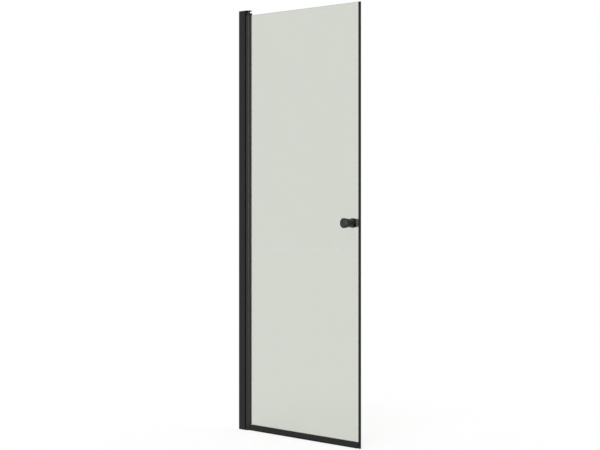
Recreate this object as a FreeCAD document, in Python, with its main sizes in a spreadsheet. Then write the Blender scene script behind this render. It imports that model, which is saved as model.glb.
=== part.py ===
import FreeCAD, Part
import os
import re
import Sketcher
from FreeCAD import Vector

# A hinged shower door: a wall channel, an adjustable hinge post and a glass leaf that rises as it opens.
# X runs from the wall to the closing edge, -Y is the outside of the shower and Z is up.
# The origin is on the wall face, at floor level, in the middle of the glass.

# Driving sizes, in millimetres and degrees
SIZES = {
    # the whole door
    "overall_height": 2000,
    "overall_width": 900,
    # the wall channel and its holes
    "channel_width": 47,
    "channel_depth": 32,
    "channel_wall": 2,
    "lip_rounding": 0.8,
    "wall_hole_diameter": 5.5,
    "wall_hole_inset": 150,
    # the hinge post that slides in the channel
    "slide_clearance": 0.3,
    "adjust_travel": 10,
    "post_setback": 13,
    "post_wall": 2.2,
    "mouth_setback": 1,
    "seal_width": 4,
    "seal_root": 2,
    "seal_gap": 0.3,
    # the screws that lock the post in the channel, and their covers
    "lock_screw_diameter": 4,
    "lock_screw_inset": 250,
    "lock_screw_edge": 9,
    "lock_head_diameter": 8,
    "lock_head_height": 2.2,
    "cover_wall": 1.2,
    # the end caps and their screws
    "cap_thickness": 4,
    "cap_screw_diameter": 3.2,
    "cap_screw_length": 18,
    "cap_head_diameter": 6.4,
    "cap_head_height": 2,
    # the barrel, its pins and its lifting cams
    "fit_clearance": 0.05,
    "barrel_clearance": 1,
    "barrel_wall": 2.5,
    "barrel_blend": 3,
    "cove_gap": 1.2,
    "swing_clearance": 2.2,
    "lift_gap": 10,
    "head_height": 10,
    "head_reach": 23,
    "head_rounding": 1,
    "plug_depth": 30,
    "pin_diameter": 8,
    "pin_collar": 1,
    "pin_reach": 44,
    "pin_chamfer": 1,
    "bush_wall": 3,
    "bush_length": 24,
    "bush_collar": 2,
    "cam_base": 6,
    "cam_rise": 12,
    "cam_gap": 0.3,
    "cam_drop_angle": 3,
    "cam_collar": 3.7,
    "peg_diameter": 3,
    "peg_length": 3,
    # the glass and the stile that holds it
    "glass_thickness": 6,
    "glass_arris": 0.5,
    "glass_bite": 10.5,
    "gasket_thickness": 1,
    "stile_wall": 2,
    "stile_rounding": 1.2,
    # the bottom rail, its sweep and its end caps
    "rail_top": 28.5,
    "rail_bottom": 6,
    "rail_floor": 13.5,
    "rail_wall": 4,
    "rail_slope": 2.5,
    "rail_gap": 1.2,
    "rail_cap": 2,
    "groove_mouth": 2.8,
    "groove_width": 6,
    "groove_lip": 1.4,
    "groove_height": 3,
    "sweep_bottom": 0.5,
    "sweep_inset": 1,
    "sweep_blade": 1.2,
    "sweep_web": 1.4,
    # the closing strip with its magnet
    "strip_bite": 6,
    "strip_wall": 0.9,
    "strip_rounding": 0.8,
    "magnet_thickness": 2,
    "magnet_clearance": 0.1,
    "strip_plug": 6,
    # the knob through the glass
    "knob_height": 997,
    "knob_edge": 49,
    "knob_length": 54.5,
    "knob_diameter": 45,
    "knob_foot_diameter": 38,
    "knob_rim": 6.5,
    "knob_rounding": 4.5,
    "knob_waist_depth": 1.6,
    "ring_diameter": 43,
    "ring_thickness": 4,
    "stud_diameter": 6,
    "stud_bite": 20,
    "glass_hole_diameter": 12,
    "washer_diameter": 36,
    "washer_thickness": 1.5,
    "inner_knob_diameter": 40,
    "inner_knob_length": 17.5,
    "inner_knob_rounding": 2,
    "inner_stud_bite": 10,
    "grub_diameter": 4,
    "grub_length": 8,
    "grub_setback": 9,
}

# How many holes the channel has, and how many screws lock the post
WALL_HOLES = 4
LOCK_SCREWS = 3

# Places and sizes that follow from the driving ones
PLACES = {
    "glass_half": "glass_thickness / 2",
    "slot_half": "glass_half + gasket_thickness",
    "stile_half": "slot_half + stile_wall",
    "channel_half": "channel_depth / 2",
    "channel_inner": "channel_half - channel_wall",
    "post_half": "channel_inner - slide_clearance",
    "axis_x": "channel_width + stile_half + swing_clearance",
    "barrel_radius": "channel_inner - barrel_clearance",
    "bore_radius": "barrel_radius - barrel_wall",
    "plug_radius": "bore_radius - fit_clearance",
    "cove_radius": "barrel_radius + cove_gap",
    "nose_radius": "sqrt((axis_x - channel_width)^2 + channel_inner^2) - slide_clearance",
    "post_back": "channel_wall + post_setback",
    "post_end": "channel_width - mouth_setback",
    "cove_x": "axis_x - cove_radius",
    "seal_floor": "cove_x - seal_root",
    "post_web": "seal_floor - post_wall",
    "post_length": "overall_height - 2 * cap_thickness",
    "post_cavity": "post_half - post_wall",
    "seal_bulge": "cove_gap - seal_gap",
    "cap_back": "channel_wall + slide_clearance",
    "cap_screw_x": "post_web + post_wall + cap_screw_diameter / 2",
    "cap_screw_y": "post_cavity - cap_screw_diameter / 2",
    "lock_screw_x": "post_back + lock_screw_edge",
    "lock_span": "overall_height - 2 * lock_screw_inset",
    "pin_radius": "pin_diameter / 2",
    "bush_radius": "pin_radius + bush_wall",
    "head_top": "overall_height - cap_thickness - lift_gap",
    "bush_seat": "head_top + fit_clearance",
    "hinge_top": "head_top - head_height",
    "ramp_low": "cap_thickness + cam_base",
    "ramp_high": "ramp_low + cam_rise",
    "hinge_bottom": "ramp_high + cam_gap + cam_collar",
    "cam_drop_lift": "cam_rise * cam_drop_angle / 180",
    "peg_offset": "(pin_radius + barrel_radius) / 2",
    "slot_floor": "bore_radius + stile_wall",
    "glass_left": "slot_floor + gasket_thickness",
    "stile_reach": "glass_left + glass_bite",
    "stile_bottom": "rail_top + rail_gap",
    "strip_half": "glass_half + strip_wall",
    "chamber_depth": "magnet_thickness + 2 * magnet_clearance",
    "strip_left": "overall_width - strip_bite - 2 * strip_wall - chamber_depth",
    "glass_right": "strip_left + strip_bite",
    "chamber_left": "glass_right + strip_wall",
    "rail_half": "glass_half + rail_wall",
    "rail_left": "axis_x + nose_radius + rail_gap",
    "rail_start": "rail_left + rail_cap",
    "rail_length": "strip_left - rail_cap - rail_start",
    "knob_x": "overall_width - knob_edge",
    "ring_face": "glass_half + ring_thickness",
    "knob_front": "ring_face + knob_length",
    "knob_radius": "knob_diameter / 2",
    "knob_foot_radius": "knob_foot_diameter / 2",
    "stud_radius": "stud_diameter / 2",
    "washer_face": "glass_half + washer_thickness",
}

doc = FreeCAD.newDocument("shower_door")
HOME = {name: "Sizes." for name in SIZES} | {name: "Places." for name in PLACES}
nodes = []
cuts = []


def full(formula):
    """Put its sheet's name before each size or place in a formula."""
    return re.sub(r"[a-z][a-z_]+", lambda word: HOME.get(word[0], "") + word[0], formula)


def value(formula):
    return float(sizes.evalExpression(full(formula)))


def bind(thing, **formulas):
    """Tie properties to formulas. Two underscores in a property's name stand for a dot."""
    for name, formula in formulas.items():
        thing.setExpression(name.replace("__", "."), full(formula))


def make_sheet(name, cells):
    sheet = doc.addObject("Spreadsheet::Sheet", name)
    for row, (alias, content) in enumerate(cells.items(), start=1):
        sheet.set(f"A{row}", alias)
        sheet.set(f"B{row}", content)
        sheet.setAlias(f"B{row}", alias)
    return sheet


def fix(sketch, kind, *items):
    """Add a dimension to a sketch. The last item is its formula."""
    *where, formula = items
    index = sketch.addConstraint(Sketcher.Constraint(kind, *where, value(formula)))
    bind(sketch, **{f"Constraints[{index}]": formula})


def fix_point(sketch, geometry, end, x, y):
    fix(sketch, "DistanceX", -1, 1, geometry, end, x)
    fix(sketch, "DistanceY", -1, 1, geometry, end, y)


def circle(sketch, x, y, radius):
    index = sketch.addGeometry(Part.Circle(Vector(value(x), value(y)), Vector(0, 0, 1), value(radius)))
    fix_point(sketch, index, 3, x, y)
    fix(sketch, "Radius", index, radius)


def arc_edge(start, end, radius, to_right):
    """An arc from start to end that swells to the right or the left of its run."""
    chord = end - start
    side = Vector(chord.y, -chord.x).normalize() * (1 if to_right else -1)
    swell = radius - (radius**2 - (chord.Length / 2) ** 2) ** 0.5
    return Part.Arc(start, (start + end) / 2 + side * swell, end)


def outline(sketch, points):
    """A closed line through points. A point's third item is the radius of an arc to the next point,
    and a fourth item, True, makes that arc hollow."""
    corners = [Vector(value(point[0]), value(point[1])) for point in points]
    counterclockwise = sum(a.cross(b).z for a, b in zip(corners, corners[1:] + corners[:1])) > 0
    runs = []
    for number, point in enumerate(points):
        start = corners[number]
        end = corners[(number + 1) % len(corners)]
        if len(point) == 2:
            edge = Part.LineSegment(start, end)
        else:
            hollow = len(point) == 4
            edge = arc_edge(start, end, value(point[2]), to_right=counterclockwise != hollow)
        index = sketch.addGeometry(edge)
        forward = sketch.getPoint(index, 1).isEqual(start, 1e-6)
        runs.append((index, 1, 2) if forward else (index, 2, 1))
    for (index, _, end), (follower, start, _) in zip(runs, runs[1:] + runs[:1]):
        sketch.addConstraint(Sketcher.Constraint("Coincident", index, end, follower, start))
    for point, (index, start, _) in zip(points, runs):
        fix_point(sketch, index, start, point[0], point[1])
        if len(point) > 2:
            fix(sketch, "Radius", index, point[2])


def rectangle(sketch, left, bottom, right, top):
    outline(sketch, [(left, bottom), (right, bottom), (right, top), (left, top)])


class Piece:
    """A sub-part made as a body, with its own label and place."""

    def __init__(self, label, x="0", y="0", z="0", node=True):
        self.body = doc.addObject("PartDesign::Body", label)
        self.body.Label = label
        self.body.AllowCompound = True
        bind(self.body, Placement__Base__x=x, Placement__Base__y=y, Placement__Base__z=z)
        if node:
            nodes.append(self.body)

    def datum(self, role):
        return next(item for item in self.body.Origin.OriginFeatures if item.Role == role)

    def sketch(self, plane, offset="0"):
        """A sketch on one of the body's own planes, moved along the plane's normal."""
        drawing = self.body.newObject("Sketcher::SketchObject", f"{self.body.Label}_sketch")
        drawing.AttachmentSupport = [(self.datum(plane), "")]
        drawing.MapMode = "FlatFace"
        bind(drawing, AttachmentOffset__Base__z=offset)
        return drawing

    def feature(self, kind, **settings):
        made = self.body.newObject(f"PartDesign::{kind}", f"{self.body.Label}_{kind.lower()}")
        for name, setting in settings.items():
            setattr(made, name, setting)
        return made

    def pad(self, drawing, length):
        made = self.feature("Pad", Profile=drawing)
        bind(made, Length=length)
        return made

    def pocket(self, drawing, length, backwards=False):
        """A cut against the sketch's normal, or along it if backwards."""
        made = self.feature("Pocket", Profile=drawing, Reversed=backwards)
        bind(made, Length=length)
        cuts.append(made)
        return made

    def turn(self, drawing):
        """A full turn about the sketch's upright axis."""
        return self.feature("Revolution", Profile=drawing, ReferenceAxis=(drawing, ["V_Axis"]), Angle=360)

    def repeat(self, original, axis, length, count):
        made = self.feature("LinearPattern", Originals=[original], Direction=(self.datum(axis), [""]))
        made.Occurrences = count
        bind(made, Length=length)
        self.body.Tip = made
        return made

    def round_edges(self, radius, is_wanted):
        """Round the edges that pass a test."""
        doc.recompute()
        base = self.body.Tip
        made = self.feature("Fillet", Base=(base, edge_names(base, is_wanted)))
        bind(made, Radius=radius)

    def round_upright(self, radius, *places):
        """Round the edges that run along Z at the given places."""
        spots = [(value(x), value(y)) for x, y in places]
        self.round_edges(radius, lambda edge: any(stays_at(edge, x=x, y=y) for x, y in spots))

    def round_level(self, radius, height):
        """Round the edges that lie flat at a height."""
        self.round_edges(radius, lambda edge: stays_at(edge, z=value(height)))


def edge_names(base, is_wanted):
    """The names of the edges of a feature that pass a test."""
    edges = enumerate(base.Shape.Edges, start=1)
    return [f"Edge{number}" for number, edge in edges if is_wanted(edge)]


def stays_at(edge, **place):
    """Whether the whole edge keeps to the given coordinates of its body's own frame."""
    points = edge.discretize(5)
    return all(abs(getattr(point, axis) - at) < 1e-4 for point in points for axis, at in place.items())


def turned(label, points, along="Z", node=True, **place):
    """A turned piece from its half section, as radius and distance along its axis."""
    piece = Piece(label, node=node, **place)
    drawing = piece.sketch("XZ_Plane" if along == "Z" else "XY_Plane")
    outline(drawing, points)
    piece.turn(drawing)
    return piece


def tube(inner, outer, start, end):
    """The half section of a plain tube."""
    return [(inner, start), (outer, start), (outer, end), (inner, end)]


def join(label, kind, base, tool):
    """A node made from two objects by a Part boolean."""
    made = doc.addObject(f"Part::{kind}", label)
    made.Label = label
    made.Base = base
    made.Tool = tool
    nodes.append(made)


def group(label, members):
    """One node of several separate solids."""
    made = doc.addObject("Part::Compound", label)
    made.Label = label
    made.Links = members
    nodes.append(made)


def prism(label, radius, length, **place):
    """A six-sided bar along Z."""
    made = doc.addObject("Part::Prism", label)
    made.Polygon = 6
    bind(made, Circumradius=radius, Height=length)
    bind(made, **{f"Placement__Base__{axis}": formula for axis, formula in place.items()})
    return made


def bar(label, length, width, height, x, y, z):
    """A plain block, centred on y."""
    made = doc.addObject("Part::Box", label)
    made.Label = label
    bind(made, Length=length, Width=width, Height=height)
    bind(made, Placement__Base__x=x, Placement__Base__y=f"{y} - ({width}) / 2", Placement__Base__z=z)
    return made


def wall_profile():
    """The channel that is screwed to the wall, open towards the door."""
    piece = Piece("wall_profile")
    section = piece.sketch("XY_Plane")
    outline(section, [
        ("0", "-channel_half"),
        ("channel_width", "-channel_half"),
        ("channel_width", "-channel_inner"),
        ("channel_wall", "-channel_inner"),
        ("channel_wall", "channel_inner"),
        ("channel_width", "channel_inner"),
        ("channel_width", "channel_half"),
        ("0", "channel_half"),
    ])
    piece.pad(section, "overall_height")
    lips = [("channel_width", "-channel_half"), ("channel_width", "channel_half")]
    piece.round_upright("lip_rounding", *lips)
    wall_hole = piece.sketch("YZ_Plane")
    circle(wall_hole, "0", "wall_hole_inset", "wall_hole_diameter / 2")
    drilled = piece.pocket(wall_hole, "channel_wall", backwards=True)
    piece.repeat(drilled, "Z_Axis", "overall_height - 2 * wall_hole_inset", WALL_HOLES)
    # slots in the inner flange let the locking screws follow the post
    slots = piece.sketch("XZ_Plane")
    slot_radius = "lock_screw_diameter / 2 + slide_clearance"
    slot_low = f"lock_screw_inset - ({slot_radius})"
    slot_high = f"lock_screw_inset + {slot_radius}"
    rectangle(slots, "lock_screw_x", slot_low, "lock_screw_x + adjust_travel", slot_high)
    milled = piece.pocket(slots, "channel_half")
    piece.repeat(milled, "Z_Axis", "lock_span", LOCK_SCREWS)
    for end in ("lock_screw_x", "lock_screw_x + adjust_travel"):
        slot_end = piece.sketch("XZ_Plane")
        circle(slot_end, end, "lock_screw_inset", slot_radius)
        bored = piece.pocket(slot_end, "channel_half")
        piece.repeat(bored, "Z_Axis", "lock_span", LOCK_SCREWS)


def hinge_post():
    """The post that slides in the channel and is hollowed to take the barrel."""
    piece = Piece("hinge_post", z="cap_thickness")
    section = piece.sketch("XY_Plane")
    outline(section, [
        ("post_back", "-post_half"),
        ("post_end", "-post_half"),
        ("post_end", "post_half"),
        ("post_back", "post_half"),
        ("post_back", "post_cavity"),
        ("post_web", "post_cavity"),
        ("post_web", "-post_cavity"),
        ("post_back", "-post_cavity"),
    ])
    piece.pad(section, "post_length")
    cove = piece.sketch("XY_Plane")
    circle(cove, "axis_x", "0", "cove_radius")
    piece.pocket(cove, "post_length", backwards=True)
    groove = piece.sketch("XY_Plane")
    rectangle(groove, "seal_floor", "-seal_width / 2", "axis_x", "seal_width / 2")
    piece.pocket(groove, "post_length", backwards=True)
    ports = piece.sketch("XY_Plane")
    for side in ("", "-"):
        circle(ports, "cap_screw_x", f"{side}cap_screw_y", "cap_screw_diameter / 2")
    piece.pocket(ports, "post_length", backwards=True)
    pilot = piece.sketch("XZ_Plane")
    circle(pilot, "lock_screw_x", "lock_screw_inset - cap_thickness", "lock_screw_diameter / 2")
    drilled = piece.pocket(pilot, "post_half")
    piece.repeat(drilled, "Z_Axis", "lock_span", LOCK_SCREWS)


def hinge_seal():
    """The soft strip in the post's hollow that closes the gap to the barrel."""
    piece = Piece("hinge_seal", z="cap_thickness")
    section = piece.sketch("XY_Plane")
    crown = "(seal_width^2 / 4 + seal_bulge^2) / (2 * seal_bulge)"
    outline(section, [
        ("seal_floor", "-seal_width / 2"),
        ("cove_x", "-seal_width / 2", crown),
        ("cove_x", "seal_width / 2"),
        ("seal_floor", "seal_width / 2"),
    ])
    piece.pad(section, "post_length")


def end_cap(label, z):
    """A plate on an end of the post, with a round nose over the hinge axis."""
    piece = Piece(label, z=z)
    tongue = piece.sketch("XY_Plane")
    rectangle(tongue, "cap_back", "-post_half", "axis_x", "post_half")
    piece.pad(tongue, "cap_thickness")
    nose = piece.sketch("XY_Plane")
    circle(nose, "axis_x", "0", "nose_radius")
    piece.pad(nose, "cap_thickness")
    return piece


def cap_holes(piece, pin_radius, head_side):
    """The pin's hole and two stepped screw holes, with their heads on the outer side."""
    holes = piece.sketch("XY_Plane")
    circle(holes, "axis_x", "0", f"{pin_radius} + fit_clearance")
    for side in ("", "-"):
        circle(holes, "cap_screw_x", f"{side}cap_screw_y", "cap_screw_diameter / 2")
    piece.pocket(holes, "cap_thickness", backwards=True)
    heads = piece.sketch("XY_Plane", "cap_thickness" if head_side == "top" else "0")
    for side in ("", "-"):
        circle(heads, "cap_screw_x", f"{side}cap_screw_y", "cap_head_diameter / 2")
    piece.pocket(heads, "cap_head_height", backwards=head_side == "bottom")


def top_cap():
    piece = end_cap("top_cap", "overall_height - cap_thickness")
    cap_holes(piece, "pin_radius + pin_collar", "top")


def bottom_cap():
    piece = end_cap("bottom_cap", "0")
    cap_holes(piece, "pin_radius", "bottom")
    pegs = piece.sketch("XY_Plane", "cap_thickness")
    for side in ("", "-"):
        circle(pegs, "axis_x", f"{side}peg_offset", "peg_diameter / 2 + fit_clearance")
    piece.pocket(pegs, "peg_length")


def cap_screws():
    """Two screws through each end cap into the post."""
    head = "cap_head_diameter / 2"
    shank = "cap_screw_diameter / 2"
    rows = []
    for end, top, inward in (("upper", "overall_height", "-"), ("lower", "0", "")):
        rows.append(turned(f"{end}_cap_screws", [
            ("0", "0"),
            (head, "0"),
            (head, f"{inward}cap_head_height"),
            (shank, f"{inward}cap_head_height"),
            (shank, f"{inward}cap_screw_length"),
            ("0", f"{inward}cap_screw_length"),
        ], node=False, x="cap_screw_x", y="-cap_screw_y", z=top))
    for row in rows:
        row.repeat(row.body.Tip, "Y_Axis", "2 * cap_screw_y", 2)
    group("cap_screws", [row.body for row in rows])


def lock_screws():
    """The screws that clamp the post in the channel, put in from the inside of the shower."""
    head = "channel_half + slide_clearance"
    piece = turned("lock_screws", [
        ("0", "post_cavity"),
        ("lock_screw_diameter / 2", "post_cavity"),
        ("lock_screw_diameter / 2", head),
        ("lock_head_diameter / 2", head),
        ("lock_head_diameter / 2", f"{head} + lock_head_height"),
        ("0", f"{head} + lock_head_height"),
    ], along="Y", x="lock_screw_x", z="lock_screw_inset")
    piece.repeat(piece.body.Tip, "Z_Axis", "lock_span", LOCK_SCREWS)


def screw_covers():
    """The round covers that snap over the locking screws' heads."""
    seat = "channel_half + slide_clearance"
    head = f"{seat} + lock_head_height"
    inner = "lock_head_diameter / 2"
    outer = "lock_head_diameter / 2 + cover_wall"
    piece = turned("screw_covers", [
        (inner, seat),
        (outer, seat),
        (outer, head),
        (inner, f"{head} + cover_wall"),
        ("0", f"{head} + cover_wall"),
        ("0", head),
        (inner, head),
    ], along="Y", x="lock_screw_x", z="lock_screw_inset")
    piece.repeat(piece.body.Tip, "Z_Axis", "lock_span", LOCK_SCREWS)


def top_pin():
    """The six-sided guide pin under the top cap, with a round collar in the cap."""
    collar = turned("top_pin_collar", [
        ("0", "0"),
        ("pin_radius + pin_collar", "0"),
        ("pin_radius + pin_collar", "cap_thickness"),
        ("0", "cap_thickness"),
    ], node=False, x="axis_x", z="overall_height - cap_thickness")
    foot = "overall_height - cap_thickness - pin_reach"
    shank = prism("top_pin_shank", "pin_radius", "pin_reach", x="axis_x", z=foot)
    join("top_pin", "Fuse", collar.body, shank)


def lift_bush():
    """The bush that rides up the guide pin without turning, inside the hinge head."""
    blank = turned("lift_bush_blank", [
        ("0", "-bush_length"),
        ("bush_radius", "-bush_length"),
        ("bush_radius", "0"),
        ("bush_radius + bush_collar", "0"),
        ("bush_radius + bush_collar", "bush_collar"),
        ("0", "bush_collar"),
    ], node=False, x="axis_x", z="bush_seat")
    bore = prism(
        "lift_bush_bore",
        "pin_radius + 2 * fit_clearance",
        "bush_length + bush_collar",
        x="axis_x",
        z="bush_seat - bush_length",
    )
    join("lift_bush", "Cut", blank.body, bore)


def bottom_pin():
    """The round pin that the barrel turns on, pressed into the bottom cap."""
    reach = "hinge_bottom + plug_depth"
    turned("bottom_pin", [
        ("0", "0"),
        ("pin_radius", "0"),
        ("pin_radius", f"{reach} - pin_chamfer"),
        ("pin_radius - pin_chamfer", reach),
        ("0", reach),
    ], x="axis_x")


def helical_cut(piece, low, high):
    """Two half turns of a helical ramp, cut between two heights at its foot."""
    section = piece.sketch("XZ_Plane")
    rectangle(section, "pin_radius / 2", low, "2 * barrel_radius", high)
    ramp = piece.feature("SubtractiveHelix", Profile=section, ReferenceAxis=(piece.datum("Z_Axis"), [""]))
    ramp.Mode = "height-turns-angle"
    ramp.Turns = 0.5
    ramp.LeftHanded = True
    bind(ramp, Height="cam_rise")
    cuts.append(ramp)
    twin = piece.feature("PolarPattern", Originals=[ramp], Axis=(piece.datum("Z_Axis"), [""]))
    twin.Angle = 360
    twin.Occurrences = 2
    piece.body.Tip = twin


def fixed_cam():
    """The lower lifting cam, pegged to the bottom cap."""
    half_section = tube("pin_radius + fit_clearance", "barrel_radius", "cap_thickness", "ramp_high")
    piece = turned("fixed_cam", half_section, x="axis_x")
    helical_cut(piece, "ramp_low", "ramp_high + cam_rise")
    pegs = piece.sketch("XY_Plane", "cap_thickness - peg_length")
    for side in ("", "-"):
        circle(pegs, "0", f"{side}peg_offset", "peg_diameter / 2")
    piece.pad(pegs, "peg_length")


def moving_cam():
    """The upper lifting cam, plugged into the barrel and turned a few degrees from the lower cam's drop."""
    piece = turned("moving_cam", [
        ("pin_radius + fit_clearance", "ramp_low"),
        ("barrel_radius", "ramp_low"),
        ("barrel_radius", "hinge_bottom"),
        ("plug_radius", "hinge_bottom"),
        ("plug_radius", "hinge_bottom + plug_depth"),
        ("pin_radius + fit_clearance", "hinge_bottom + plug_depth"),
    ], x="axis_x")
    helical_cut(piece, "ramp_low - 2 * cam_rise", "ramp_low + cam_gap + cam_drop_lift")
    piece.body.Placement.Rotation = FreeCAD.Rotation(Vector(0, 0, -1), value("cam_drop_angle"))
    bind(piece.body, Placement__Rotation__Angle="cam_drop_angle")


def hinge_profile():
    """The barrel and, in one extrusion with it, the stile that holds the glass."""
    piece = Piece("hinge_profile", x="axis_x")
    barrel = piece.sketch("XY_Plane", "hinge_bottom")
    circle(barrel, "0", "0", "barrel_radius")
    piece.pad(barrel, "hinge_top - hinge_bottom")
    stile = piece.sketch("XY_Plane", "stile_bottom")
    rectangle(stile, "0", "-stile_half", "stile_reach", "stile_half")
    piece.pad(stile, "hinge_top - stile_bottom")
    root = "sqrt(barrel_radius^2 - stile_half^2)"
    piece.round_upright("barrel_blend", (root, "-stile_half"), (root, "stile_half"))
    piece.round_upright("stile_rounding", ("stile_reach", "-stile_half"), ("stile_reach", "stile_half"))
    bore = piece.sketch("XY_Plane", "hinge_bottom")
    circle(bore, "0", "0", "bore_radius")
    piece.pocket(bore, "hinge_top - hinge_bottom", backwards=True)
    slot = piece.sketch("XY_Plane", "stile_bottom")
    rectangle(slot, "slot_floor", "-slot_half", "2 * stile_reach", "slot_half")
    piece.pocket(slot, "hinge_top - stile_bottom", backwards=True)


def hinge_head():
    """The head that plugs the barrel, with a tongue over the stile and a bore for the lift bush."""
    piece = turned("hinge_head", [
        ("0", "-plug_depth"),
        ("plug_radius", "-plug_depth"),
        ("plug_radius", "0"),
        ("barrel_radius", "0"),
        ("barrel_radius", "head_height"),
        ("0", "head_height"),
    ], x="axis_x", z="hinge_top")
    tongue = piece.sketch("XY_Plane")
    rectangle(tongue, "0", "-stile_half", "head_reach", "stile_half")
    piece.pad(tongue, "head_height")
    piece.round_level("head_rounding", "head_height")
    bore = piece.sketch("XY_Plane", "head_height")
    circle(bore, "0", "0", "bush_radius + fit_clearance")
    piece.pocket(bore, "head_height + plug_depth")


def glazing_gasket():
    """The soft channel between the stile and the glass."""
    piece = Piece("glazing_gasket", x="axis_x")
    section = piece.sketch("XY_Plane", "stile_bottom")
    outline(section, [
        ("slot_floor", "-slot_half"),
        ("stile_reach", "-slot_half"),
        ("stile_reach", "-glass_half"),
        ("glass_left", "-glass_half"),
        ("glass_left", "glass_half"),
        ("stile_reach", "glass_half"),
        ("stile_reach", "slot_half"),
        ("slot_floor", "slot_half"),
    ])
    piece.pad(section, "hinge_top - stile_bottom")


def glass_panel():
    """The toughened pane, with ground edges and a hole for the knob."""
    piece = Piece("glass_panel")
    face = piece.sketch("XZ_Plane", "-glass_half")
    rectangle(face, "axis_x + glass_left", "rail_floor", "glass_right", "hinge_top")
    piece.pad(face, "glass_thickness")
    doc.recompute()
    slab = piece.body.Tip
    rims = edge_names(slab, lambda edge: edge.Length > value("2 * glass_thickness"))
    ground = piece.feature("Chamfer", Base=(slab, rims))
    bind(ground, Size="glass_arris")
    hole = piece.sketch("XZ_Plane", "glass_half")
    circle(hole, "knob_x", "knob_height", "glass_hole_diameter / 2")
    piece.pocket(hole, "glass_thickness")


def rail_outline():
    """The bottom rail's outer corners from its foot up to the glass, on the inner side."""
    return [
        ("rail_half", "rail_bottom"),
        ("rail_half", "rail_top - rail_slope"),
        ("rail_half - rail_slope", "rail_top"),
        ("glass_half", "rail_top"),
        ("glass_half", "rail_floor"),
    ]


def mirrored(points):
    """The same corners on the other side of the glass, in reverse order."""
    return [(f"-({x})", y) for x, y in reversed(points)]


def bottom_rail():
    """The rail along the foot of the glass, grooved below for its sweep."""
    piece = Piece("bottom_rail", x="rail_start")
    section = piece.sketch("YZ_Plane")
    groove = [
        ("groove_width / 2", "rail_bottom + groove_lip + groove_height"),
        ("groove_width / 2", "rail_bottom + groove_lip"),
        ("groove_mouth / 2", "rail_bottom + groove_lip"),
        ("groove_mouth / 2", "rail_bottom"),
    ]
    half = groove + rail_outline()
    outline(section, half + mirrored(half))
    piece.pad(section, "rail_length")


def sweep_seal():
    """The soft sweep under the rail, held by its root in the rail's groove, with two blades."""
    piece = Piece("sweep_seal", x="rail_start")
    section = piece.sketch("YZ_Plane")
    root_low = "rail_bottom + groove_lip"
    outer = "rail_half - sweep_inset"
    half = [
        ("groove_width / 2", f"{root_low} + groove_height"),
        ("groove_width / 2", root_low),
        ("groove_mouth / 2", root_low),
        ("groove_mouth / 2", "rail_bottom"),
        (outer, "rail_bottom"),
        (outer, "sweep_bottom"),
        (f"{outer} - sweep_blade", "sweep_bottom"),
        (f"{outer} - sweep_blade", "rail_bottom - sweep_web"),
    ]
    outline(section, half + mirrored(half))
    piece.pad(section, "rail_length")


def rail_caps():
    """The two caps on the rail's ends."""
    piece = Piece("rail_caps", x="rail_left")
    section = piece.sketch("YZ_Plane")
    half = rail_outline()
    outline(section, half + mirrored(half))
    piece.pad(section, "rail_cap")
    piece.repeat(piece.body.Tip, "X_Axis", "rail_cap + rail_length", 2)


def edge_strip():
    """The strip on the closing edge, with a chamber for the magnet."""
    piece = Piece("edge_strip")
    section = piece.sketch("XY_Plane", "sweep_bottom")
    outline(section, [
        ("strip_left", "-strip_half"),
        ("overall_width", "-strip_half"),
        ("overall_width", "strip_half"),
        ("strip_left", "strip_half"),
        ("strip_left", "glass_half"),
        ("glass_right", "glass_half"),
        ("glass_right", "-glass_half"),
        ("strip_left", "-glass_half"),
    ])
    piece.pad(section, "hinge_top - sweep_bottom")
    piece.round_upright("strip_rounding", ("overall_width", "-strip_half"), ("overall_width", "strip_half"))
    chamber = piece.sketch("XY_Plane", "sweep_bottom")
    rectangle(chamber, "chamber_left", "-glass_half", "chamber_left + chamber_depth", "glass_half")
    piece.pocket(chamber, "hinge_top - sweep_bottom", backwards=True)


def magnet_and_plugs():
    """The magnet in the closing strip and the plugs that shut its chamber's ends."""
    width = "2 * (glass_half - magnet_clearance)"
    magnet = bar(
        "magnet_strip",
        "magnet_thickness",
        width,
        "hinge_top - sweep_bottom - 2 * strip_plug",
        "chamber_left + magnet_clearance",
        "0",
        "sweep_bottom + strip_plug",
    )
    nodes.append(magnet)
    plugs = []
    for end, z in (("lower", "sweep_bottom"), ("upper", "hinge_top - strip_plug")):
        name = f"{end}_strip_plug"
        plugs.append(bar(name, "chamber_depth", "glass_thickness", "strip_plug", "chamber_left", "0", z))
    group("strip_plugs", plugs)


def knob_piece(label, points):
    """A turned piece of the knob. Points are radius and distance out from the middle of the glass."""
    flipped = [(radius, f"-({out})", *rest) for radius, out, *rest in points]
    return turned(label, flipped, along="Y", x="knob_x", z="knob_height")


def outer_knob():
    """The waisted knob, with a blind hole for the stud and a side hole for its grub screw."""
    bore = "stud_radius + fit_clearance"
    run = "(knob_length - knob_rounding - knob_rim)"
    chord = f"sqrt({run}^2 + (knob_radius - knob_foot_radius)^2)"
    waist = f"({chord}^2 / 4 + knob_waist_depth^2) / (2 * knob_waist_depth)"
    rim_back = "knob_front - knob_rounding - knob_rim"
    piece = knob_piece("outer_knob", [
        (bore, "ring_face"),
        ("knob_foot_radius", "ring_face", waist, True),
        ("knob_radius", rim_back),
        ("knob_radius", "knob_front - knob_rounding", "knob_rounding"),
        ("knob_radius - knob_rounding", "knob_front"),
        ("0", "knob_front"),
        ("0", "ring_face + stud_bite"),
        (bore, "ring_face + stud_bite"),
    ])
    side_hole = piece.sketch("XY_Plane")
    circle(side_hole, "0", "-(ring_face + grub_setback)", "grub_diameter / 2 + fit_clearance")
    piece.pocket(side_hole, "knob_radius")


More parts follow.
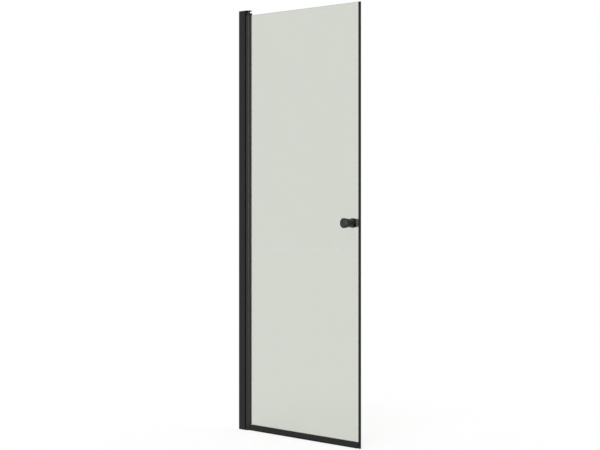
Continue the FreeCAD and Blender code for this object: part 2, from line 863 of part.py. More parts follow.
def knob_pieces():
    """What the knob needs to clamp through the glass."""
    bore = "stud_radius + fit_clearance"
    knob_piece("knob_ring", tube(bore, "ring_diameter / 2", "glass_half", "ring_face"))
    sleeve = "glass_hole_diameter / 2 - fit_clearance"
    knob_piece("knob_sleeve", tube(bore, sleeve, "-glass_half", "glass_half"))
    knob_piece("inner_washer", tube(bore, "washer_diameter / 2", "-washer_face", "-glass_half"))
    stud_inner = "-(washer_face + inner_stud_bite)"
    knob_piece("knob_stud", tube("0", "stud_radius", stud_inner, "ring_face + stud_bite"))
    inner_front = "-(washer_face + inner_knob_length)"
    knob_piece("inner_knob", [
        (bore, "-washer_face"),
        ("inner_knob_diameter / 2", "-washer_face"),
        ("inner_knob_diameter / 2", f"{inner_front} + inner_knob_rounding", "inner_knob_rounding"),
        ("inner_knob_diameter / 2 - inner_knob_rounding", inner_front),
        ("0", inner_front),
        ("0", stud_inner),
        (bore, stud_inner),
    ])
    turned("grub_screw", [
        ("0", "-stud_radius - grub_length"),
        ("grub_diameter / 2", "-stud_radius - grub_length"),
        ("grub_diameter / 2", "-stud_radius"),
        ("0", "-stud_radius"),
    ], x="knob_x", y="-(ring_face + grub_setback)", z="knob_height")


def check():
    """Stop if any object failed, any sub-part is empty or broken, or any cut took nothing away."""
    for item in doc.Objects:
        if {"Invalid", "Error"} & set(item.State):
            raise RuntimeError(f"{item.Label} failed: {item.getStatusString()}")
    for node in nodes:
        if node.Shape.isNull() or not node.Shape.isValid() or not node.Shape.Solids:
            raise RuntimeError(f"{node.Label} has no sound shape")
    for cut in cuts:
        if cut.Shape.Volume >= cut.BaseFeature.Shape.Volume:
            raise RuntimeError(f"{cut.Label} cuts nothing")


def export():
    os.makedirs("parts", exist_ok=True)
    for node in nodes:
        node.Shape.exportStep(f"parts/{node.Label}.step")
        print(f"{node.Label}: {len(node.Shape.Solids)} solids, {node.Shape.Volume / 1000:.2f} cm3")


sizes = make_sheet("Sizes", {name: str(number) for name, number in SIZES.items()})
make_sheet("Places", {name: "=" + full(formula) for name, formula in PLACES.items()})
doc.recompute()

wall_profile()
hinge_post()
hinge_seal()
top_cap()
bottom_cap()
cap_screws()
lock_screws()
screw_covers()
top_pin()
lift_bush()
bottom_pin()
fixed_cam()
moving_cam()
hinge_profile()
hinge_head()
glazing_gasket()
glass_panel()
bottom_rail()
sweep_seal()
rail_caps()
edge_strip()
magnet_and_plugs()
outer_knob()
knob_pieces()

doc.recompute()
check()
export()
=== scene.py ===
import math

import bmesh
import bpy
from mathutils import Matrix, Vector


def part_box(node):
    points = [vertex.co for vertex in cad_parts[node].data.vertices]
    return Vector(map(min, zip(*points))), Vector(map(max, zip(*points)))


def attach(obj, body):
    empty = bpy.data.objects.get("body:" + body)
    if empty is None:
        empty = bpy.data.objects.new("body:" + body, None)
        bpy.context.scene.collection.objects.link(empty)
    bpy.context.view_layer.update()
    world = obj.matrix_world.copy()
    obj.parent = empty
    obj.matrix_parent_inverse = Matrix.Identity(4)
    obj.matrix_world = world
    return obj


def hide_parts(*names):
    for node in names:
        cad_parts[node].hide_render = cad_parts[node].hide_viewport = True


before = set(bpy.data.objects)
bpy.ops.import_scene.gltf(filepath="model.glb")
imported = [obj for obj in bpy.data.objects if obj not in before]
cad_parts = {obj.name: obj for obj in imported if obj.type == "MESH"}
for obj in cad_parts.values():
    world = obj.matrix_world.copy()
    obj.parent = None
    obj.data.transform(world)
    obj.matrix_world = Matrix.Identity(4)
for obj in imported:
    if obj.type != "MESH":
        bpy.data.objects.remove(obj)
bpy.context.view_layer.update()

# A hinged shower door: black wall channel and hinge post, pale glass, black knob, rail and closing strip.
# All sizes are in metres, in the frame of the solids. X runs from the wall, -Y is outside, Z is up.

MM = 0.001

# The photograph's viewpoint: a level camera, with its horizon above the middle of the picture
PICTURE_WIDTH = 600
VIEW_AZIMUTH = math.radians(52.61)
VIEW_DISTANCE = 8.657
VIEW_TARGET = Vector((0.4604, 0, 1.130))
FOCAL_PIXELS = 1881.6
SENSOR_WIDTH = 36
HORIZON_RISE_PIXELS = 31.97

# The light: an even dome, a wide high lamp, a tall soft box in front of the door and one behind it
DOME_LEVEL = 0.70
HIGH_LAMP_FROM = Vector((0.35, -0.50, 0.80))
HIGH_LAMP_LEVEL = 0.8
HIGH_LAMP_SPREAD = math.radians(24)
FRONT_BOX_PLACE = Vector((3.1, -2.2, 1.62))
FRONT_BOX_SIZE = (1.4, 3.2)
FRONT_BOX_POWER = 95
FRONT_BOX_TINT = (1.0, 0.99, 0.90)
BACK_BOX_PLACE = Vector((2.6, 4.8, 1.9))
BACK_BOX_SIZE = (2.8, 3.6)
BACK_BOX_POWER = 110
BACK_BOX_TINT = (1.0, 1.0, 1.0)
FLOOR_COLOUR = 0.96
FLOOR_GLOW = 0.65
FLOOR_GLOW_LEVEL = 1.08
FLOOR_RADIUS = 30.0
FLOOR_SIDES = 64
WHITE = (1, 1, 1, 1)

# Finishes
EDGE_SOFTNESS = 0.35 * MM
# Lighter edges: the reach and strength of a mask that is partly rubbed wear and partly a painted
# highlight
EDGE_WEAR_AND_SHEEN = 0.5 * MM
EDGE_WEAR_AND_SHEEN_GAIN = 3
EDGE_SAMPLES = 4
DIE_LINE_STRETCH = 0.004
FLOW_MARK_STRETCH = 0.02
TURNING_SQUEEZE = 12
LATHE_PITCH = 0.16 * MM
STEEL_COLOUR = (0.55, 0.55, 0.56, 1)
DARK_STEEL_COLOUR = (0.045, 0.045, 0.047, 1)
STEEL_LINE_SHADE = 0.85
GLASS_CLARITY = 0.92
GLASS_INDEX = 1.5
GLASS_TINT = (0.656, 0.680, 0.618, 1)
GLASS_LIGHT_TINT = (0.668, 0.690, 0.628, 1)
GLASS_EDGE_TINT = (0.40, 0.47, 0.41, 1)
GLASS_EDGE_BAND = 0.7 * MM
GLASS_EDGE_ROUGHNESS = 0.35
GLASS_SHADOW_TINT = (0.63, 0.65, 0.59, 1)

# Small forms that the solids leave plain
SMOOTH_ANGLE = math.radians(32)
SAME_PLACE = 0.01 * MM
MERGE_DISTANCE = 0.001 * MM
TURNED_SIDES = 48
SWEEP_FLARE = 0.6 * MM
SWEEP_ROOT_THICKNESS = 1.3 * MM
SWEEP_TIP_THICKNESS = 0.6 * MM
SWEEP_BEND_ROUNDING = SWEEP_ROOT_THICKNESS * 0.8
SWEEP_TIP_ROUNDING = SWEEP_TIP_THICKNESS * 0.4
SWEEP_WEB = 1.4 * MM
SWEEP_NECK = 1.4 * MM
SWEEP_ROOT_HALF = 3.0 * MM
SEAL_NOSE = 1.6 * MM
LIP_REACH = 0.7 * MM
LIP_GAP = 0.05 * MM
LIP_ROUNDING = 0.25 * MM
SCREW_HEAD_HEIGHT = 2.0 * MM
SCREW_SHANK_RADIUS = 1.6 * MM
SCREW_LENGTH = 18 * MM
SCREW_RIM_ROUNDING = 0.25 * MM
SOCKET_SIDES = 6
SOCKET_RADIUS = 1.45 * MM
SOCKET_DEPTH = 1.3 * MM
GRUB_SOCKET_RADIUS = 1.15 * MM
COVER_WALL = 1.2 * MM
COVER_ROUNDING = 1.5 * MM
PAD_CLEARANCE = 0.2 * MM
PAD_ROUNDING_SHARE = 0.4
UPSIDE_DOWN = Matrix.Rotation(math.pi, 4, "X")
FACING_INWARDS = Matrix.Rotation(-math.pi / 2, 4, "X")


class Value:
    """A socket in a finish. Arithmetic on it adds Math nodes."""

    def __init__(self, finish, socket):
        self.finish = finish
        self.socket = socket

    def __add__(self, other):
        return self.finish.maths("ADD", self, other)

    def __sub__(self, other):
        return self.finish.maths("SUBTRACT", self, other)

    def __rsub__(self, other):
        return self.finish.maths("SUBTRACT", other, self)

    def __mul__(self, other):
        return self.finish.maths("MULTIPLY", self, other)

    __radd__ = __add__
    __rmul__ = __mul__


class Finish:
    """The nodes of one material or of the world."""

    def __init__(self, owner):
        owner.use_nodes = True
        self.owner = owner
        self.tree = owner.node_tree
        self.tree.nodes.clear()

    def node(self, kind, settings=None, sockets=None, output=0):
        """Add a node, with its settings first and then the values or links of its sockets."""
        made = self.tree.nodes.new(kind)
        for name, setting in (settings or {}).items():
            setattr(made, name, setting)
        for name, given in (sockets or {}).items():
            if isinstance(given, Value):
                self.tree.links.new(given.socket, made.inputs[name])
            else:
                made.inputs[name].default_value = given
        return Value(self, made.outputs[output]) if made.outputs else made

    def maths(self, operation, first, second):
        return self.node("ShaderNodeMath", {"operation": operation}, {0: first, 1: second})

    def mix(self, share, first, second):
        """A colour between two others."""
        sockets = {0: share, 6: first, 7: second}
        return self.node("ShaderNodeMix", {"data_type": "RGBA"}, sockets, output=2)

    def place(self, centre=(0, 0, 0), stretch=(1, 1, 1)):
        """Coordinates of the part, from a centre, stretched along the axes."""
        spot = self.node("ShaderNodeTexCoord", output="Object")
        offset = [-along * scale for along, scale in zip(centre, stretch)]
        sockets = {"Vector": spot, "Location": offset, "Scale": stretch}
        return self.node("ShaderNodeMapping", None, sockets)

    def noise(self, place, scale, detail=2.0):
        sockets = {"Vector": place, "Scale": scale, "Detail": detail}
        return self.node("ShaderNodeTexNoise", None, sockets, "Fac")

    def relief(self, height, depth, strength):
        """A normal from a height between 0 and 1, over edges that are softened a little."""
        edge = self.node("ShaderNodeBevel", {"samples": EDGE_SAMPLES}, {"Radius": EDGE_SOFTNESS})
        sockets = {"Strength": strength, "Distance": depth, "Height": height, "Normal": edge}
        return self.node("ShaderNodeBump", None, sockets)

    def edge_wear_and_sheen(self):
        """0 on open faces, rising to 1 along sharp edges, where colours are lightened: partly rubbed wear
        and partly a painted highlight.
        """
        soft = self.node("ShaderNodeBevel", {"samples": EDGE_SAMPLES}, {"Radius": EDGE_WEAR_AND_SHEEN})
        flat = self.node("ShaderNodeNewGeometry", output="Normal")
        product = {"operation": "DOT_PRODUCT"}
        agree = self.node("ShaderNodeVectorMath", product, {0: soft, 1: flat}, "Value")
        return self.maths("MINIMUM", (1 - agree) * EDGE_WEAR_AND_SHEEN_GAIN, 1.0)

    def surface(self, **sockets):
        """The main shader. Two words in a socket's name are joined by an underscore."""
        named = {name.replace("_", " "): given for name, given in sockets.items()}
        return self.node("ShaderNodeBsdfPrincipled", None, named)

    def close(self, shader, kind="ShaderNodeOutputMaterial"):
        """Feed the output, and give back the material or world."""
        self.node(kind, None, {"Surface": shader})
        return self.owner


def grey(level, warmth=0.0):
    """A grey, a little warm or cool."""
    return (level * (1 + warmth), level, level * (1 - warmth), 1)


def new_finish(name):
    return Finish(bpy.data.materials.new(name))


def scales_along(along, share):
    """The scales of a pattern that is drawn out or squeezed along one axis."""
    return [share if axis == along else 1 for axis in "XYZ"]


def anodised_black(name, along, shine=0.11):
    """Satin black anodised aluminium, with faint die lines along it and edges painted a little lighter,
    partly as rubbed wear and partly as a painted highlight.
    """
    finish = new_finish(name)
    lines = finish.noise(finish.place(stretch=scales_along(along, DIE_LINE_STRETCH)), scale=900)
    grain = finish.noise(finish.place(), scale=2600)
    clouds = finish.noise(finish.place(), scale=7)
    return finish.close(finish.surface(
        # Lighter grey along the edges: partly rubbed wear, partly a painted highlight
        Base_Color=finish.mix(
            finish.edge_wear_and_sheen() * (0.4 + grain * 0.6),
            finish.mix(clouds * 0.6 + lines * 0.4, grey(0.006), grey(0.011)),
            grey(0.11),
        ),
        Roughness=0.26 + clouds * 0.10 + lines * 0.12,
        Specular_IOR_Level=shine,
        Normal=finish.relief(lines * 0.6 + grain * 0.4, depth=0.02 * MM, strength=0.8),
    ))


def turned_black(name, centre):
    """Satin black turned metal, with fine rings round its axis."""
    finish = new_finish(name)
    flat = finish.place(centre, (1, 0, 1))
    radius = finish.node("ShaderNodeVectorMath", {"operation": "LENGTH"}, {0: flat}, "Value")
    rings = finish.maths("PINGPONG", radius, LATHE_PITCH) * (1 / LATHE_PITCH)
    clouds = finish.noise(finish.place(centre), scale=60)
    return finish.close(finish.surface(
        Base_Color=finish.mix(clouds, grey(0.040), grey(0.050)),
        Metallic=1.0,
        Roughness=0.30 + clouds * 0.08,
        Normal=finish.relief(rings * 0.7 + clouds * 0.3, depth=0.015 * MM, strength=0.7),
    ))


def moulded_black(name, level=0.007, roughness=0.46, shine=0.12):
    """Black moulded plastic with a fine spark texture, its edges painted lighter, partly as wear and
    partly as a painted highlight.
    """
    finish = new_finish(name)
    spark = finish.noise(finish.place(), scale=1900, detail=3)
    clouds = finish.noise(finish.place(), scale=25)
    return finish.close(finish.surface(
        # Lighter grey along the edges: partly wear, partly a painted highlight
        Base_Color=finish.mix(
            finish.edge_wear_and_sheen() * spark,
            finish.mix(clouds, grey(level), grey(level * 1.5)),
            grey(level * 6),
        ),
        Roughness=roughness + clouds * 0.06 + spark * 0.10,
        Specular_IOR_Level=shine,
        Normal=finish.relief(spark, depth=0.03 * MM, strength=0.9),
    ))


def seal_rubber(name, along):
    """Matt black seal, with flow marks along it and a trace of dust."""
    finish = new_finish(name)
    flow = finish.noise(finish.place(stretch=scales_along(along, FLOW_MARK_STRETCH)), scale=1200)
    dust = finish.noise(finish.place(), scale=140, detail=4)
    return finish.close(finish.surface(
        Base_Color=finish.mix(dust * dust, grey(0.004), grey(0.010, warmth=0.04)),
        Roughness=0.58 + dust * 0.2,
        Specular_IOR_Level=0.14,
        Normal=finish.relief(flow * 0.5 + dust * 0.5, depth=0.03 * MM, strength=0.5),
    ))


def bearing_black(name):
    """Smooth black bearing plastic."""
    finish = new_finish(name)
    clouds = finish.noise(finish.place(), scale=80)
    return finish.close(finish.surface(
        Base_Color=finish.mix(clouds, grey(0.008), grey(0.012)),
        Roughness=0.26 + clouds * 0.08,
        Specular_IOR_Level=0.22,
        Normal=finish.relief(clouds, depth=0.01 * MM, strength=0.3),
    ))


def bare_steel(name, colour, roughness):
    """Steel with fine level turning lines."""
    finish = new_finish(name)
    lines = finish.noise(finish.place(stretch=scales_along("Z", TURNING_SQUEEZE)), scale=700)
    shade = tuple(STEEL_LINE_SHADE * part for part in colour[:3]) + (1,)
    return finish.close(finish.surface(
        Base_Color=finish.mix(lines, colour, shade),
        Metallic=1.0,
        Roughness=roughness + lines * 0.12,
        Normal=finish.relief(lines, depth=0.01 * MM, strength=0.3),
    ))


def nylon(name):
    """Milky nylon of the sleeve in the glass."""
    finish = new_finish(name)
    clouds = finish.noise(finish.place(), scale=200)
    return finish.close(finish.surface(
        Base_Color=finish.mix(clouds, grey(0.50), grey(0.58)),
        Roughness=0.4 + clouds * 0.1,
        Normal=finish.relief(clouds, depth=0.01 * MM, strength=0.3),
    ))


def magnet_brown(name):
    """Flexible magnet strip, dark and grainy."""
    finish = new_finish(name)
    grain = finish.noise(finish.place(), scale=1500, detail=3)
    return finish.close(finish.surface(
        Base_Color=finish.mix(grain, grey(0.035, warmth=0.1), grey(0.06, warmth=0.1)),
        Roughness=0.6 + grain * 0.15,
        Normal=finish.relief(grain, depth=0.02 * MM, strength=0.5),
    ))


def tinted_glass(name):
    """Pale grey-green glass, a little milky, with a deeper ground edge on top. Lamps shine through it."""
    finish = new_finish(name)
    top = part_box("glass_panel")[1].z
    clouds = finish.noise(finish.place(), scale=3)
    height = finish.node("ShaderNodeSeparateXYZ", None, {0: finish.place()}, "Z")
    at_edge = finish.maths("GREATER_THAN", height, top - GLASS_EDGE_BAND)
    face_tint = finish.mix(clouds, GLASS_TINT, GLASS_LIGHT_TINT)
    pane = finish.surface(
        Base_Color=finish.mix(at_edge, face_tint, GLASS_EDGE_TINT),
        Roughness=at_edge * GLASS_EDGE_ROUGHNESS,
        IOR=GLASS_INDEX,
        Transmission_Weight=GLASS_CLARITY,
    )
    shadow = finish.node("ShaderNodeLightPath", output="Is Shadow Ray")
    lit = finish.node("ShaderNodeBsdfTransparent", None, {"Color": GLASS_SHADOW_TINT})
    return finish.close(finish.node("ShaderNodeMixShader", None, {0: shadow, 1: pane, 2: lit}))


def make_finishes():
    """Every finish of the door, by its plain name."""
    knob_low, knob_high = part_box("outer_knob")
    return {
        "upright": anodised_black("anodised_black_upright", "Z"),
        "barrel": anodised_black("anodised_black_barrel", "Z", shine=0.28),
        "rail": anodised_black("anodised_black_rail", "X"),
        "knob": turned_black("turned_black_knob", (knob_low + knob_high) / 2),
        "moulding": moulded_black("moulded_black"),
        # The knob's ring: the black moulding made deeper and duller, partly its own black and partly
        # painted shade at the knob's foot
        "ring": moulded_black("deep_black_ring", level=0.002, roughness=0.50, shine=0.05),
        "upright_seal": seal_rubber("seal_rubber_upright", "Z"),
        "rail_seal": seal_rubber("seal_rubber_rail", "X"),
        "bearing": bearing_black("bearing_black"),
        "steel": bare_steel("stainless_steel", STEEL_COLOUR, roughness=0.22),
        "dark_steel": bare_steel("blackened_steel", DARK_STEEL_COLOUR, roughness=0.35),
        "nylon": nylon("nylon_sleeve"),
        "magnet": magnet_brown("magnet_brown"),
        "glass": tinted_glass("tinted_glass"),
    }


NODE_FINISHES = {
    "upright": ("wall_profile", "hinge_post"),
    "barrel": ("hinge_profile",),
    "rail": ("bottom_rail",),
    "knob": ("outer_knob", "inner_knob"),
    "moulding": (
        "top_cap", "bottom_cap", "screw_covers", "hinge_head", "rail_caps", "edge_strip", "strip_plugs",
    ),
    "ring": ("knob_ring",),
    "upright_seal": ("hinge_seal", "glazing_gasket", "inner_washer"),
    "rail_seal": ("sweep_seal",),
    "bearing": ("lift_bush", "fixed_cam", "moving_cam"),
    "steel": ("lock_screws", "bottom_pin", "knob_stud"),
    "dark_steel": ("cap_screws", "grub_screw", "top_pin"),
    "nylon": ("knob_sleeve",),
    "magnet": ("magnet_strip",),
    "glass": ("glass_panel",),
}


def dress_nodes():
    """Give every solid its finish."""
    for finish, names in NODE_FINISHES.items():
        for name in names:
            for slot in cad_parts[name].material_slots:
                slot.material = finishes[finish]


def add_object(name, shape, material):
    """Put a shape into the scene."""
    mesh = bpy.data.meshes.new(name)
    shape.to_mesh(mesh)
    shape.free()
    mesh.materials.append(material)
    thing = bpy.data.objects.new(name, mesh)
    bpy.context.scene.collection.objects.link(thing)
    return thing


def add_piece(name, shape, finish, body, node):
    """Finish a piece that stands for a solid and rides on a body."""
    bmesh.ops.recalc_face_normals(shape, faces=shape.faces)
    piece = add_object(name, shape, finishes[finish])
    piece.data.shade_smooth()
    piece.data.set_sharp_from_angle(angle=SMOOTH_ANGLE)
    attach(piece, body)
    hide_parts(node)


def extruded(axis, outline, start, end):
    """A bar of one section, along X with its outline in Y and Z or along Z with it in X and Y."""
    shape = bmesh.new()
    corners = [(start, u, v) if axis == "X" else (u, v, start) for u, v in outline]
    section = shape.faces.new([shape.verts.new(corner) for corner in corners])
    grown = bmesh.ops.extrude_face_region(shape, geom=[section])["geom"]
    far_end = [item for item in grown if isinstance(item, bmesh.types.BMVert)]
    run = Vector((end - start, 0, 0)) if axis == "X" else Vector((0, 0, end - start))
    bmesh.ops.translate(shape, verts=far_end, vec=run)
    return shape


def round_edges(shape, edges, radius, segments):
    bmesh.ops.bevel(
        shape, geom=edges, offset=radius, affect="EDGES",
        segments=segments, profile=0.5, material=-1,
    )


def long_edges(shape, axis, corners):
    """The edges that run along a bar at the given corners of its section."""
    across = (1, 2) if axis == "X" else (0, 1)

    def is_at(vert, corner):
        return all(abs(vert.co[index] - at) < SAME_PLACE for index, at in zip(across, corner))

    return [
        edge for edge in shape.edges
        if any(all(is_at(vert, corner) for vert in edge.verts) for corner in corners)
    ]


def mirrored(points):
    """The same points on the other side of the glass."""
    return [(-u, v) for u, v in points]


def sweep_lips():
    """The sweep under the rail: a root in its groove and two lips that spread towards the floor."""
    low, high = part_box("sweep_seal")
    rail_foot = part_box("bottom_rail")[0].z
    root_foot = rail_foot + SWEEP_WEB
    shoulder = (high.y, rail_foot)
    tip_outer = (high.y + SWEEP_FLARE, low.z)
    tip_inner = (tip_outer[0] - SWEEP_TIP_THICKNESS, low.z)
    armpit = (high.y - SWEEP_ROOT_THICKNESS, rail_foot - SWEEP_WEB)
    half = [
        (SWEEP_ROOT_HALF, high.z),
        (SWEEP_ROOT_HALF, root_foot),
        (SWEEP_NECK, root_foot),
        (SWEEP_NECK, rail_foot),
        shoulder,
        tip_outer,
        tip_inner,
        armpit,
    ]
    shape = extruded("X", half + mirrored(half)[::-1], low.x, high.x)
    bends = [armpit, shoulder]
    bend_edges = long_edges(shape, "X", bends + mirrored(bends))
    round_edges(shape, bend_edges, SWEEP_BEND_ROUNDING, segments=6)
    tips = [tip_outer, tip_inner]
    tip_edges = long_edges(shape, "X", tips + mirrored(tips))
    round_edges(shape, tip_edges, SWEEP_TIP_ROUNDING, segments=3)
    add_piece("sweep_lips", shape, "rail_seal", "door", "sweep_seal")


def hinge_bulb():
    """The seal in the hinge post's hollow, with a round nose towards the barrel."""
    low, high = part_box("hinge_seal")
    nose = [(high.x, low.y), (high.x, high.y)]
    outline = [(low.x, low.y), *nose, (low.x, high.y)]
    shape = extruded("Z", outline, low.z, high.z)
    round_edges(shape, long_edges(shape, "Z", nose), SEAL_NOSE, segments=6)
    add_piece("hinge_bulb", shape, "upright_seal", "post", "hinge_seal")


def glazing_lips():
    """The gasket in the stile, with a rounded lip on each face of the glass."""
    low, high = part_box("glazing_gasket")
    glass_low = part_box("glass_panel")[0]
    glass_face = -glass_low.y + LIP_GAP
    mouth = high.x + LIP_REACH
    half = [
        (low.x, high.y),
        (mouth, high.y),
        (mouth, glass_face),
        (glass_low.x - LIP_GAP, glass_face),
    ]
    other = [(x, -y) for x, y in reversed(half)]
    shape = extruded("Z", half + other, low.z, high.z)
    lips = [half[1], other[2]]
    round_edges(shape, long_edges(shape, "Z", lips), LIP_ROUNDING, segments=4)
    add_piece("glazing_lips", shape, "upright_seal", "door", "glazing_gasket")


def ring_edges(shape, height, radius):
    """The edges of the circle at a height on a piece that stands round Z."""
    def is_on(vert):
        on_circle = abs(vert.co.xy.length - radius) < SAME_PLACE
        return on_circle and abs(vert.co.z - height) < SAME_PLACE

    return [edge for edge in shape.edges if all(is_on(vert) for vert in edge.verts)]


def pull(shape, edges, drop, scale=1.0):
    """Draw a loop of edges downwards, and narrow it by a scale."""
    made = bmesh.ops.extrude_edge_only(shape, edges=edges)["geom"]
    verts = [item for item in made if isinstance(item, bmesh.types.BMVert)]
    bmesh.ops.translate(shape, verts=verts, vec=(0, 0, -drop))
    bmesh.ops.scale(shape, verts=verts, vec=(scale, scale, 1))
    return [item for item in made if isinstance(item, bmesh.types.BMEdge)]


def socket_screw(head_radius, head_height, shank_radius, length, socket_radius):
    """A screw with a six-sided socket, its head's top at the origin and its shank down."""
    shape = bmesh.new()
    bmesh.ops.create_circle(shape, segments=SOCKET_SIDES, radius=socket_radius)
    bmesh.ops.subdivide_edges(shape, edges=shape.edges[:], cuts=TURNED_SIDES // SOCKET_SIDES - 1)
    hexagon = shape.edges[:]
    rim_verts = bmesh.ops.create_circle(shape, segments=TURNED_SIDES, radius=head_radius)["verts"]
    rim = list(dict.fromkeys(edge for vert in rim_verts for edge in vert.link_edges))
    bmesh.ops.bridge_loops(shape, edges=hexagon + rim)
    bmesh.ops.edgeloop_fill(shape, edges=pull(shape, hexagon, SOCKET_DEPTH))
    under = pull(shape, rim, head_height)
    if shank_radius < head_radius:
        under = pull(shape, under, 0, shank_radius / head_radius)
    bmesh.ops.edgeloop_fill(shape, edges=pull(shape, under, length - head_height))
    round_edges(shape, ring_edges(shape, 0, head_radius), SCREW_RIM_ROUNDING, segments=3)
    return shape


def turned(outline):
    """A piece turned round Z from its half section, given as radius and height."""
    shape = bmesh.new()
    points = [shape.verts.new((radius, 0, height)) for radius, height in outline]
    for first, second in zip(points, points[1:]):
        shape.edges.new((first, second))
    bmesh.ops.spin(
        shape, geom=shape.verts[:] + shape.edges[:], cent=(0, 0, 0), axis=(0, 0, 1),
        angle=2 * math.pi, steps=TURNED_SIDES, use_merge=True,
    )
    bmesh.ops.remove_doubles(shape, verts=shape.verts, dist=MERGE_DISTANCE)
    return shape


def copies(template, places):
    """One shape of several copies of another."""
    mesh = bpy.data.meshes.new("template")
    template.to_mesh(mesh)
    template.free()
    shape = bmesh.new()
    for place in places:
        first = len(shape.verts)
        shape.from_mesh(mesh)
        shape.verts.ensure_lookup_table()
        bmesh.ops.transform(shape, matrix=place, verts=shape.verts[first:])
    bpy.data.meshes.remove(mesh)
    return shape


def cap_socket_screws():
    """The four screws in the end caps, with sockets for a hexagon key."""
    low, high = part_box("cap_screws")
    head_radius = (high.x - low.x) / 2
    screw = socket_screw(
        head_radius, SCREW_HEAD_HEIGHT, SCREW_SHANK_RADIUS, SCREW_LENGTH, SOCKET_RADIUS,
    )
    places = []
    for side in (low.y + head_radius, high.y - head_radius):
        centre = Vector((low.x + head_radius, side, 0))
        places.append(Matrix.Translation(centre + Vector((0, 0, high.z))))
        places.append(Matrix.Translation(centre + Vector((0, 0, low.z))) @ UPSIDE_DOWN)
    screws = copies(screw, places)
    add_piece("cap_socket_screws", screws, "dark_steel", "post", "cap_screws")


def knob_grub():
    """The grub screw in the knob's underside, its socket facing down."""
    low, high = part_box("grub_screw")
    radius = (high.x - low.x) / 2
    length = high.z - low.z
    screw = socket_screw(radius, length / 2, radius, length, GRUB_SOCKET_RADIUS)
    foot = Vector(((low.x + high.x) / 2, (low.y + high.y) / 2, low.z))
    grub = copies(screw, [Matrix.Translation(foot) @ UPSIDE_DOWN])
    add_piece("knob_grub", grub, "dark_steel", "door", "grub_screw")


def snap_covers():
    """The round covers over the locking screws, with softened rims."""
    low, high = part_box("screw_covers")
    radius = (high.x - low.x) / 2
    height = high.y - low.y
    inner = radius - COVER_WALL
    ceiling = height - COVER_WALL
    outside = [(0, height), (radius, height), (radius, 0)]
    inside = [(inner, 0), (inner, ceiling), (0, ceiling)]
    cover = turned(outside + inside)
    round_edges(cover, ring_edges(cover, height, radius), COVER_ROUNDING, segments=6)
    centre = (low + high) / 2
    heights = (low.z + radius, centre.z, high.z - radius)
    places = [Matrix.Translation((centre.x, low.y, z)) @ FACING_INWARDS for z in heights]
    covers = copies(cover, places)
    add_piece("snap_covers", covers, "moulding", "post", "screw_covers")


def knob_pad():
    """The soft washer between the glass and the inner knob, with rounded rims."""
    low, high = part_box("inner_washer")
    stud_low, stud_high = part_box("knob_stud")
    bore = (stud_high.x - stud_low.x) / 2 + PAD_CLEARANCE
    radius = (high.x - low.x) / 2
    thickness = high.y - low.y
    section = [(bore, 0), (radius, 0), (radius, thickness), (bore, thickness), (bore, 0)]
    pad = turned(section)
    rims = ring_edges(pad, 0, radius) + ring_edges(pad, thickness, radius)
    round_edges(pad, rims, thickness * PAD_ROUNDING_SHARE, segments=5)
    centre = (low + high) / 2
    place = Matrix.Translation((centre.x, low.y, centre.z)) @ FACING_INWARDS
    washer = copies(pad, [place])
    add_piece("knob_pad", washer, "upright_seal", "door", "inner_washer")


def seen_directly(finish):
    """1 for rays that show the background: to the camera, in a reflection or through glass."""
    camera, glossy, through = [
        finish.node("ShaderNodeLightPath", output=kind)
        for kind in ("Is Camera Ray", "Is Glossy Ray", "Is Transmission Ray")
    ]
    return finish.maths("MINIMUM", camera + glossy + through, 1.0)


def white_dome():
    """Even light from all round, in front of a white background."""
    world = bpy.data.worlds.new("white_dome")
    bpy.context.scene.world = world
    finish = Finish(world)
    seen = seen_directly(finish)
    level = DOME_LEVEL + seen * (1 - DOME_LEVEL)
    sky = finish.node("ShaderNodeBackground", None, {"Color": WHITE, "Strength": level})
    finish.close(sky, "ShaderNodeOutputWorld")


def pale_floor():
    """A white floor that keeps a soft shadow of the door."""
    shape = bmesh.new()
    bmesh.ops.create_circle(shape, cap_ends=True, segments=FLOOR_SIDES, radius=FLOOR_RADIUS)
    finish = new_finish("pale_floor")
    matt = finish.node("ShaderNodeBsdfDiffuse", None, {"Color": grey(FLOOR_COLOUR)})
    glow = finish.node("ShaderNodeEmission", None, {"Color": WHITE, "Strength": FLOOR_GLOW_LEVEL})
    share = seen_directly(finish) * FLOOR_GLOW
    paint = finish.close(finish.node("ShaderNodeMixShader", None, {0: share, 1: matt, 2: glow}))
    floor = add_object("floor", shape, paint)
    return floor


def aim(thing, place, target):
    """Put a lamp or the camera into the scene, facing a target."""
    thing.location = place
    thing.rotation_euler = (target - place).to_track_quat("-Z", "Y").to_euler()
    bpy.context.scene.collection.objects.link(thing)


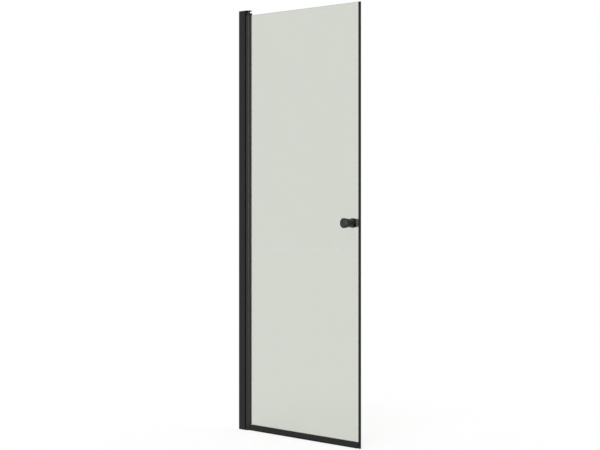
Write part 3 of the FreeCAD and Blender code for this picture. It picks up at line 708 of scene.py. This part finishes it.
def high_lamp():
    """A wide, distant lamp above the front of the door. It gives the soft shadow on the floor."""
    light = bpy.data.lights.new("high_lamp", "SUN")
    light.energy = HIGH_LAMP_LEVEL
    light.angle = HIGH_LAMP_SPREAD
    aim(bpy.data.objects.new("high_lamp", light), HIGH_LAMP_FROM, Vector())


def soft_box(name, place, size, power, tint, left_out):
    """A soft lamp that faces the door and draws a soft line of light on round pieces.

    The things that are left out get none of its light, so they show no picture of the lamp.
    """
    light = bpy.data.lights.new(name, "AREA")
    light.shape = "RECTANGLE"
    light.size, light.size_y = size
    light.energy = power
    light.color = tint
    lamp = bpy.data.objects.new(name, light)
    lamp.visible_camera = False
    lamp.visible_transmission = False
    shaded = bpy.data.collections.new(name + "_left_out")
    for thing in left_out:
        shaded.objects.link(thing)
    for item in shaded.collection_objects:
        item.light_linking.link_state = "EXCLUDE"
    lamp.light_linking.receiver_collection = shaded
    aim(lamp, place, Vector((VIEW_TARGET.x, VIEW_TARGET.y, place.z)))


def photo_camera():
    lens = bpy.data.cameras.new("photo_camera")
    lens.sensor_width = SENSOR_WIDTH
    lens.lens = FOCAL_PIXELS / PICTURE_WIDTH * SENSOR_WIDTH
    lens.shift_y = -HORIZON_RISE_PIXELS / PICTURE_WIDTH
    camera = bpy.data.objects.new("photo_camera", lens)
    back = Vector((math.sin(VIEW_AZIMUTH), -math.cos(VIEW_AZIMUTH), 0))
    aim(camera, VIEW_TARGET + back * VIEW_DISTANCE, VIEW_TARGET)
    bpy.context.scene.camera = camera


finishes = make_finishes()
dress_nodes()
sweep_lips()
hinge_bulb()
glazing_lips()
cap_socket_screws()
knob_grub()
snap_covers()
knob_pad()
white_dome()
left_out = [pale_floor(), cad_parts["glass_panel"]]
high_lamp()
soft_box("front_box", FRONT_BOX_PLACE, FRONT_BOX_SIZE, FRONT_BOX_POWER, FRONT_BOX_TINT, left_out)
soft_box("back_box", BACK_BOX_PLACE, BACK_BOX_SIZE, BACK_BOX_POWER, BACK_BOX_TINT, left_out)
photo_camera()
bpy.context.scene.view_settings.view_transform = "Standard"
